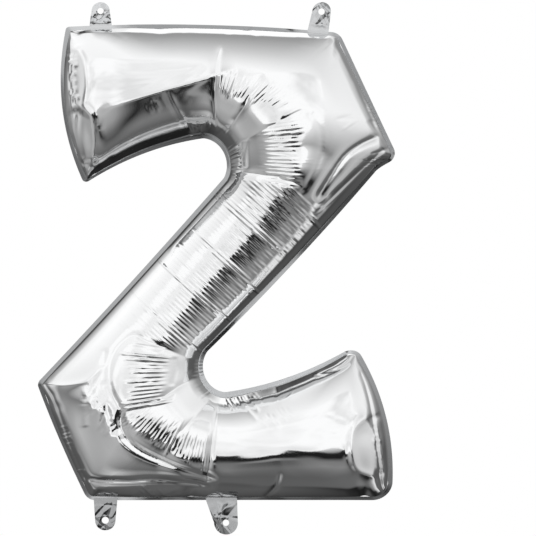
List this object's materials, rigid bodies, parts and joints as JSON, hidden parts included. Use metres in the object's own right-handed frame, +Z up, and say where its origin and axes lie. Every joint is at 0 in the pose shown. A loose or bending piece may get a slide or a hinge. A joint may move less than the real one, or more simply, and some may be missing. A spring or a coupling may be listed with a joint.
{
  "type": "letter foil balloon",
  "caption": "Inflated silver foil balloon in the shape of a block letter Z, film halves welded round the rim, with punched hanging tabs and a filling tail that fold at their roots.",
  "frame": {"origin": "middle of the whole object, inside the letter's slanted stroke, in the plane of the welded rim", "axes": "+Z up the letter, towards its top stroke; +X to the right as the letter is read; the letter's front faces -Y"},
  "size_m": [0.5611, 0.2028, 0.8375],
  "materials": {
    "silver_film": "mirror-bright metallised film, creased",
    "welded_film": "bright welded film, crimped"
  },
  "bodies": {
    "envelope": {"front_panel": "silver_film", "back_panel": "silver_film", "perimeter_seam": "welded_film"},
    "tab_top_left": {"hanging_tab_top_left": "welded_film"},
    "tab_top_right": {"hanging_tab_top_right": "welded_film"},
    "tab_bottom_left": {"hanging_tab_bottom_left": "welded_film"},
    "tail": {"fill_tail": "welded_film"}
  },
  "joints": [
    {"name": "tab_top_left_fold", "type": "hinge", "parent": "envelope", "child": "tab_top_left", "pos_m": [-0.18224, 0, 0.38383], "axis": [0.9996, 0, 0.0296], "range_deg": [-80, 80], "stiffness_Nm_per_rad": 0.0002},
    {"name": "tab_top_right_fold", "type": "hinge", "parent": "envelope", "child": "tab_top_right", "pos_m": [0.1598, 0, 0.37517], "axis": [0.9968, 0, -0.0801], "range_deg": [-80, 80], "stiffness_Nm_per_rad": 0.0002},
    {"name": "tab_bottom_left_fold", "type": "hinge", "parent": "envelope", "child": "tab_bottom_left", "pos_m": [-0.17441, 0, -0.36447], "axis": [-1, 0, -0.0027], "range_deg": [-80, 80], "stiffness_Nm_per_rad": 0.0002},
    {"name": "tail_fold", "type": "hinge", "parent": "envelope", "child": "tail", "pos_m": [0.00789, 0, -0.3642], "axis": [-1, 0, -0.0002], "range_deg": [-80, 80], "stiffness_Nm_per_rad": 0.0002}
  ]
}
